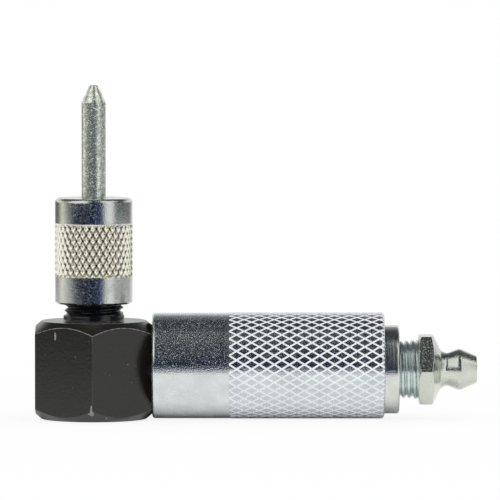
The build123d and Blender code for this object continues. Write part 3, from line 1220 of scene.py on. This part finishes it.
@dataclass
class Nipple:
    """The grease nipple: pipe thread, hexagon and double-cone head in one piece."""

    across_flats: float = 11.11 * MM
    hex_start: float = 53.245 * MM
    hex_width: float = 2.45 * MM
    hex_face: float = 5.75 * MM
    hex_chamfer: float = 0.4 * MM
    hex_edge: float = 0.05 * MM
    core: float = 3.9 * MM
    thread_reach: float = 0.3 * MM
    thread_gap: float = 0.02 * MM
    thread_radius: float = 4.68 * MM
    thread_end_radius: float = 4.86 * MM
    cone_length: float = 1.1 * MM
    cone_radius: float = 3.19 * MM
    neck_length: float = 1.05 * MM
    neck_radius: float = 2.64 * MM
    head_at: float = 4.25 * MM
    head_radius: float = 3.36 * MM
    head_land: float = 0.5 * MM
    tip_radius: float = 2.2 * MM
    bore: float = 1.3 * MM
    bore_start: float = 45.475 * MM
    crimp: float = 0.7 * MM
    orifice: float = 0.75 * MM
    seat: float = 62.395 * MM
    axis_height: float = 8.05 * MM

    def outline(self, start: float, end: float) -> Outline:
        """Draws the nipple's profile, with the hexagon as a disc and the thread as its core."""
        hex_end = self.hex_start + self.hex_width
        corner = corner_radius(self.across_flats) + self.hex_edge
        head = hex_end + self.head_at
        neck = hex_end + self.cone_length
        points = [(self.crimp, start), *cylinders((self.core, start, self.hex_start))]
        points += [(self.hex_face, self.hex_start), (corner, self.hex_start + self.hex_chamfer)]
        points += [(corner, hex_end - self.hex_chamfer), (self.across_flats / 2, hex_end)]
        points += [(self.cone_radius, neck), (self.neck_radius, neck + self.neck_length)]
        land = self.head_land / 2
        points += cylinders((self.head_radius, head - land, head + land))
        points += [(self.tip_radius, end), (self.orifice, end)]
        radii = [0.0] * 6 + [0.9 * MM, 0.9 * MM, 0.5 * MM, 0.5 * MM, 0.2 * MM]
        outline = rounded(points, radii)
        outline += [(self.orifice, self.seat), (self.bore, self.seat + self.orifice - self.bore)]
        outline += [(self.bore, self.bore_start), (self.crimp, self.bore_start)]
        return [*outline, outline[0]]

    def threaded_tube(self, start: float) -> Piece:
        """Makes the tapered thread, as a tube that goes over the core."""
        thread = Thread(
            self.thread_end_radius,
            self.thread_radius,
            depth=0.38 * MM,
            run_out=1.4 * MM,
            crest_share=0.34,
        )
        tube = thread.rod("thread", start, self.hex_start + self.thread_reach, End.HIGH)
        bore_out(tube, self.bore + MM, start - MM, self.hex_start + MM)
        return tube

    def build(self, finishes: Sequence[Finish]) -> None:
        """Models the nipple in the place of its solid."""
        low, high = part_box("nipple_body")
        piece = turned("nipple", self.outline(low.x + BITE, high.x))
        bar = hexagon_bar("bar", self.across_flats, low.x - MM, high.x + MM, 0)
        combine(piece, bar, Cut.INTERSECT)
        round_edges(piece, self.hex_edge, 26)
        combine(piece, self.threaded_tube(low.x), Cut.UNION)
        lay_on_coupler(piece, self.axis_height)
        paint(piece, finishes)
        for face in piece.data.polygons:
            face.material_index = int(face.center.x < self.hex_start - self.thread_gap)
        dress(piece, "barrel", "nipple_body")


@dataclass
class Spring:
    """A compression spring along the coupler, with both ends ground flat.

    Attributes:
        node: The node that it stands for.
        start: Where it starts along the coupler.
        end: Where it ends.
        turns: Its number of turns.
        radius: The radius of its wire's centre line.
        wire: The diameter of its wire.
        axis_height: The height of its axis.
        joint: The joint that presses it. It is not used.
        pressed_share: The share of its length that is left when the joint is at its limit. It is
            not used.
        fixed_end: The place of the end that stays where it is. It is not used.
    """

    node: str
    start: float
    end: float
    turns: int
    radius: float
    wire: float
    axis_height: float
    joint: str
    pressed_share: float
    fixed_end: float

    def build(self, finish: Finish) -> None:
        """Winds the spring."""
        grind = self.wire / 4
        first = self.start + self.wire / 2 - grind
        last = self.end - self.wire / 2 + grind
        piece = add_piece(
            self.node + "_coil",
            bpy.ops.mesh.primitive_circle_add,
            vertices=14,
            radius=self.wire / 2,
            location=(self.radius, 0, first),
            rotation=(math.radians(90), 0, 0),
        )
        wind(piece, (last - first) / self.turns, self.turns, COIL_STEPS)
        fill_ends(piece)
        clean(piece)
        for place, way in ((self.start, -1), (self.end, 1)):
            slice_at(piece, (0, 0, place), (0, 0, way))
            fill_ends(piece)
        clean(piece)
        lay_on_coupler(piece, self.axis_height)
        paint(piece, [finish])
        dress(piece, "barrel", self.node, 40)
        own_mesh(piece)


@dataclass
class Studio:
    """The camera, the pale floor and the soft light.

    Attributes:
        distance: How far the camera stands in front of the needle's axis.
        height: The camera's height.
        aim_x: Where it looks, along the coupler.
        aim_z: The height that it looks at.
        width: The width that its picture covers where it looks.
        sensor: The width of its sensor, in millimetres.
        paper_edge: How far in front of the needle's axis polished metal sees the paper end.
        paper_reach: How far from the object it sees the paper fade out.
        paper_fade: The width of that fade.
        paper_size: The size of the sheet.
    """

    distance: float = 1050 * MM
    height: float = 84 * MM
    aim_x: float = 25.6 * MM
    aim_z: float = 27.66 * MM
    width: float = 81.97 * MM
    sensor: float = 36.0
    paper_edge: float = 68 * MM
    paper_reach: float = 510 * MM
    paper_fade: float = 330 * MM
    paper_size: float = 4000 * MM

    def camera(self) -> None:
        """Sets the camera where the photograph was taken from."""
        eye = Vector((self.aim_x, -self.distance, self.height))
        aim = Vector((self.aim_x, 0, self.aim_z))
        data = bpy.data.cameras.new("camera")
        data.sensor_width = self.sensor
        data.lens = self.sensor * (aim - eye).length / self.width
        data.clip_start, data.clip_end = 10 * MM, 20000 * MM
        camera = bpy.data.objects.new("camera", data)
        camera.location = eye
        camera.rotation_mode = "QUATERNION"
        camera.rotation_quaternion = (aim - eye).to_track_quat("-Z", "Y")
        bpy.context.scene.collection.objects.link(camera)
        bpy.context.scene.camera = camera

    def floor(self) -> None:
        """Lays the white paper that the object stands on.

        Polished metal mirrors the paper up to its front edge, and the room beyond that. To
        the eye the paper turns to pure white away from the object.
        """
        floor = add_piece("floor", bpy.ops.mesh.primitive_plane_add, size=self.paper_size)
        constants = {"Base Color": linear("fbfbfb"), "Roughness": 0.9, "Specular IOR Level": 0.0}
        material, add, shader = new_material("white_paper", constants)
        ray = add("LightPath").node.outputs
        place = add("TexCoord", out="Object")
        under = {"operation": "SUBTRACT", 1: (self.aim_x, 0, 0)}
        middle = add("VectorMath", under, {0: place})
        distance = add("VectorMath", {"operation": "LENGTH"}, {0: middle}, "Value")
        spread = add("SeparateXYZ", links={0: middle}).node.outputs
        aside, behind = (add("Math", {"operation": "ABSOLUTE"}, {0: spread[axis]}) for axis in "XY")
        # Far to either side the paper reaches further forward
        widening = {"From Min": 300 * MM, "From Max": 400 * MM, "To Max": 250 * MM}
        further = add("MapRange", widening, {0: aside})
        forward = add("Math", {"operation": "ADD"}, {0: spread["Y"], 1: further})
        soft = 3 * MM
        front = {"From Min": soft - self.paper_edge, "From Max": -soft - self.paper_edge}
        fade = {"From Min": self.paper_reach - self.paper_fade, "From Max": self.paper_reach}
        # Away from the object the paper is white to the eye, and in polished metal too, but
        # close under the sleeve metal mirrors it in shade
        glow = {"From Min": 10 * MM, "From Max": 200 * MM, "To Min": 0.85, "To Max": 1.0}
        shade = {"From Min": 2.5 * MM, "From Max": 7 * MM, "To Min": 0.0, "To Max": 0.9}
        before, past, to_eye, to_metal = (
            add("MapRange", reach, {0: value})
            for reach, value in (
                (front, forward), (fade, distance), (glow, distance), (shade, behind)
            )
        )
        beyond = add("Math", {"operation": "MAXIMUM"}, {0: before, 1: past})
        seen = add("Math", {"operation": "MAXIMUM"}, self.seen_rays(ray))
        glossy = ray["Is Glossy Ray"]
        open_to_room, to_eye, to_metal = (
            add("Math", {"operation": "MULTIPLY"}, {0: share, 1: rays})
            for share, rays in ((beyond, glossy), (to_eye, seen), (to_metal, glossy))
        )
        whiten = add("Math", {"operation": "MAXIMUM"}, {0: to_eye, 1: to_metal})
        white = add("Emission", {"Color": linear(WHITE), "Strength": 1.0})
        shaded = {0: whiten, 1: shader.outputs["BSDF"], 2: white}
        paper = add("MixShader", links=shaded)
        clear = add("BsdfTransparent")
        surface = add("MixShader", links={0: open_to_room, 1: paper, 2: clear})
        feed(material.node_tree.nodes["Material Output"], {"Surface": surface})
        paint(floor, [material])

    @staticmethod
    def seen_rays(ray: bpy.types.NodeOutputs) -> dict[str | int, Socket]:
        """Picks the rays that the picture's white background is for."""
        return {0: ray["Is Camera Ray"], 1: ray["Is Transmission Ray"]}

    def world(self) -> None:
        """Fills the studio with plain light, and gives polished metal a room to mirror.

        Bearings are in degrees from the camera's side towards the nipple's end.
        """
        world = bpy.data.worlds.new("studio")
        bpy.context.scene.world = world
        world.use_nodes = True
        add = partial(add_node, world.node_tree)
        ray = add("LightPath").node.outputs
        way = add("TexCoord", out="Generated")
        axes = add("SeparateXYZ", links={0: way}).node.outputs
        front = add("Math", {"operation": "MULTIPLY", 1: -1.0}, {0: axes["Y"]})
        turn = add("Math", {"operation": "ARCTAN2"}, {0: axes["X"], 1: front})
        aside = add("Math", {"operation": "ABSOLUTE"}, {0: axes["X"]})
        bearing, height, depth = (
            add("MapRange", {"From Min": -most, "From Max": most}, {0: value})
            for most, value in ((math.pi, turn), (1.0, axes["Z"]), (1.0, front))
        )
        horizon = {
            -180: "f6f8f8", -160: "a4a6a4", -150: "50544f", -132: "5e6058", -122: "84867a",
            -112: "f0eeda", -101: "f0efdd", -95: "c4c5b8", -88: "9ca29a", -80: "6d7578",
            -69: "525a62", -58: "363f4c", -48: "222d40", -20: "19233c", 8: "1a2744",
            24: "2c447a", 36: "566064", 70: "667076", 76: "626c72", 100: "505a5e",
            125: "5a615d", 141: "8c908a", 154: "e4e8e8", 180: "f6f8f8",
        }
        # A white backdrop hangs behind the object, above the far end of the paper. The right
        # softbox reaches down to the table, and the left one hangs above it. A dark gap is
        # left between them, and both end straight above the object, where a third one hangs.
        masks = (
            (bearing, 360, horizon),
            (height, 2, {-0.02: BLACK, 0.12: "999999", 0.62: "e0e0e0", 0.86: WHITE}),
            (depth, 2, {-0.5: WHITE, -0.2: BLACK}),
            (height, 2, {0.05: BLACK, 0.12: WHITE, 0.38: WHITE, 0.52: BLACK}),
            (bearing, 360, {29: BLACK, 37: WHITE, 58: WHITE, 70: BLACK}),
            (height, 2, {-0.17: BLACK, -0.12: WHITE}),
            (bearing, 360, {-88: BLACK, -84: WHITE, -20: WHITE, -14: BLACK}),
            (height, 2, {0.18: BLACK, 0.25: WHITE}),
            (aside, 2, {-0.4: BLACK, -0.28: WHITE}),
            (height, 2, {0.45: BLACK, 0.55: WHITE}),
            (aside, 2, {-0.76: BLACK, -0.56: WHITE}),
            (front, 2, {-0.96: BLACK, -0.9: WHITE}),
        )
        room, above, *pairs, apart, end = (
            add("ValToRGB", {"stops": stops(span, codes)}, {0: value})
            for value, span, codes in masks
        )
        backdrop, right, left, over = (
            add("Math", {"operation": "MULTIPLY"}, {0: width, 1: foot})
            for width, foot in zip(pairs[::2], pairs[1::2])
        )
        softboxes = right
        for operation, share in (
            ("MAXIMUM", left), ("MULTIPLY", apart), ("MAXIMUM", over), ("MULTIPLY", end)
        ):
            softboxes = add("Math", {"operation": operation}, {0: softboxes, 1: share})
        for code, share in (("34393d", above), ("f4f6f6", backdrop), ("fbfcfc", softboxes)):
            room = add("Mix", {"data_type": "RGBA", 7: linear(code)}, {0: share, 6: room}, 2)
        mirrored = add("Background", {"Strength": 1.0}, {"Color": room})
        plain, white = (
            add("Background", {"Color": linear(WHITE), "Strength": strength})
            for strength in (0.98, 1.0)
        )
        soft = add("MixShader", links={0: ray["Is Glossy Ray"], 1: plain, 2: mirrored})
        seen = add("Math", {"operation": "MAXIMUM"}, self.seen_rays(ray))
        surface = add("MixShader", links={0: seen, 1: soft, 2: white})
        feed(world.node_tree.nodes["World Output"], {"Surface": surface})

    def build(self) -> None:
        """Sets up the whole studio."""
        self.camera()
        self.floor()
        self.world()
        bpy.context.scene.view_settings.view_transform = "Standard"
        LOG.info("studio: camera, floor and light")


def finish_kept_solids(solids: dict[str, Piece]) -> None:
    """Gives the solids that stay their finishes.

    Args:
        solids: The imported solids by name.
    """
    ball_steel = PlainFinish("hardened_ball_steel", "c9ccd0", roughness=0.12).make()
    plug_steel = PlainFinish("hardened_plug_steel", "a9adb2", roughness=0.28).make()
    ring_steel = PlainFinish("blued_spring_steel", "7d8086", roughness=0.32).make()
    copper = PlainFinish("annealed_copper", "b8734a", roughness=0.38).make()
    rubber = PlainFinish("nitrile_rubber", "1b1b1c", metallic=0.0, roughness=0.55).make()
    plastic = PlainFinish("white_seal_plastic", "dcdcd6", metallic=0.0, roughness=0.45).make()
    finishes = {
        "coupler_plug": plug_steel,
        "needle_washer": copper,
        "stop_ring": ring_steel,
        "plug_seal": rubber,
        "backup_ring": plastic,
        "check_ball": ball_steel,
        **{f"lock_ball_{number}": ball_steel for number in range(1, 7)},
    }
    for name, finish in finishes.items():
        solids[name].material_slots[0].material = finish
        LOG.info("%s has the finish %s", name, finish.name)


def main() -> None:
    """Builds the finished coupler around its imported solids."""
    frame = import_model()
    Studio().build()
    finish_kept_solids(frame["nodes"])
    # Bright zinc plate shows as a pale, slightly grainy mirror
    zinc = ZincPlate("bright_zinc_plate", frost=0.5).make()
    # The sleeve's knurled grooves get a near-white, dull plate that is hardly metallic:
    # painted highlight in place of the bright reflections of their walls
    groove_highlight_zinc = ZincPlate(
        "painted_bright_groove_zinc", "fbfdff", "f4f8fb", metallic=0.1, smoothest=0.3, dullest=0.45
    ).make()
    # The diamonds' tops get a darker plate than the smooth band
    top_zinc = ZincPlate("darker_top_zinc_plate", "ced5d8", "c2cacd", frost=0.4).make()
    # Turned and plated: the lathe's rings still show as fine lines
    turned_zinc = ZincPlate(
        "turned_zinc_plate", "dcded9", "d2d4d0", frost=0.25, marks=Marks.COUPLER
    ).make()
    # The nipple's plate has a greenish passivation. Its thread is paler, duller and less metallic:
    # painted highlight that stands in for the bright streaks on the thread
    nipple_zinc = ZincPlate(
        "green_passivated_zinc", "d8dcd2", "ced2c8", frost=0.5, smoothest=0.09, dullest=0.14
    ).make()
    thread_highlight_zinc = ZincPlate(
        "pale_thread_highlight_zinc", "dce7e5", "c4d1cf", metallic=0.9, frost=0.3, smoothest=0.12, dullest=0.2
    ).make()
    # The cap's plate has a warm passivation, and its knurling is frosted like the sleeve's
    cap_zinc = ZincPlate(
        "warm_passivated_zinc", "dadbd6", "d0d2cd", frost=0.34, smoothest=0.06, dullest=0.1
    ).make()
    cap_knurl_zinc = ZincPlate(
        "frosted_warm_zinc",
        "faf7e8",
        "f0eedd",
        metallic=0.9,
        frost=0.36,
        patch=0.5 * MM,
        # Painted shade: the grooves are darkened, and the pits where they cross are nearly black
        groove="d8d4c2",
        pit="12110d",
        smoothest=0.1,
        dullest=0.2,
    ).make()
    # The needle's plate is coarse, over a surface with drawing marks, so it glitters dully
    needle_plate = ZincPlate(
        "coarse_needle_plate",
        "f9fcf2",
        "b6bcb0",
        metallic=0.86,
        frost=0.5,
        frost_size=0.26 * MM,
        patch=0.5 * MM,
        smoothest=0.22,
        dullest=0.33,
        grain=0.42 * MM,
        relief=0.04 * MM,
        stretch=2.0,
    ).make()
    wire = PlainFinish("drawn_spring_wire", "8d9095", roughness=0.3).make()
    # Black oxide is nearly black and satin on the milled bar, and glossy on the cut thread
    edge_chip = (
        Nick(-0.2 * MM, 2.1 * MM, 0.16 * MM, 0.85 * MM),
        Nick(-0.2 * MM, 1.45 * MM, 0.42 * MM, 0.3 * MM),
    )
    nicks = (
        *edge_chip,
        Nick(-6.12 * MM, 13.9 * MM, 0.13 * MM, 0.6 * MM),
        Nick(2.2 * MM, 0.75 * MM, 0.13 * MM, 0.16 * MM),
        Nick(5.7 * MM, 9.4 * MM, 0.11 * MM, 0.13 * MM, 0.6),
        Nick(-2.8 * MM, 10.7 * MM, 0.11 * MM, 0.13 * MM, 0.5),
    )
    oxide = BlackOxide("black_oxide_steel", nicks=nicks).make()
    worn_oxide = BlackOxide(
        "rubbed_black_oxide", worn_high=0.9, worn_low=0.22, nicks=edge_chip
    ).make()
    thread_oxide = BlackOxide("oiled_black_oxide", "08080a", "16161a", roughness=0.18).make()
    Elbow().build([oxide, worn_oxide, thread_oxide])
    NeedleCap().build([cap_zinc, cap_knurl_zinc])
    Needle().build(needle_plate)
    Sleeve().build([zinc, groove_highlight_zinc, top_zinc])
    Barrel().build(turned_zinc)
    Nipple().build([nipple_zinc, thread_highlight_zinc])
    Spring(
        node="sleeve_spring",
        start=20.375 * MM,
        end=33.375 * MM,
        turns=7,
        radius=6.8 * MM,
        wire=1.0 * MM,
        axis_height=8.375 * MM,
        joint="sleeve_slide",
        pressed_share=7.98 / 13,
        fixed_end=33.375 * MM,
    ).build(wire)
    Spring(
        node="check_spring",
        start=45.475 * MM,
        end=60.445 * MM,
        turns=9,
        radius=0.85 * MM,
        wire=0.3 * MM,
        axis_height=8.05 * MM,
        joint="check_ball_lift",
        pressed_share=0.947,
        fixed_end=45.475 * MM,
    ).build(wire)


if __name__ == "__main__":
    logging.basicConfig(level=logging.INFO, format="%(name)s: %(message)s")
    main()
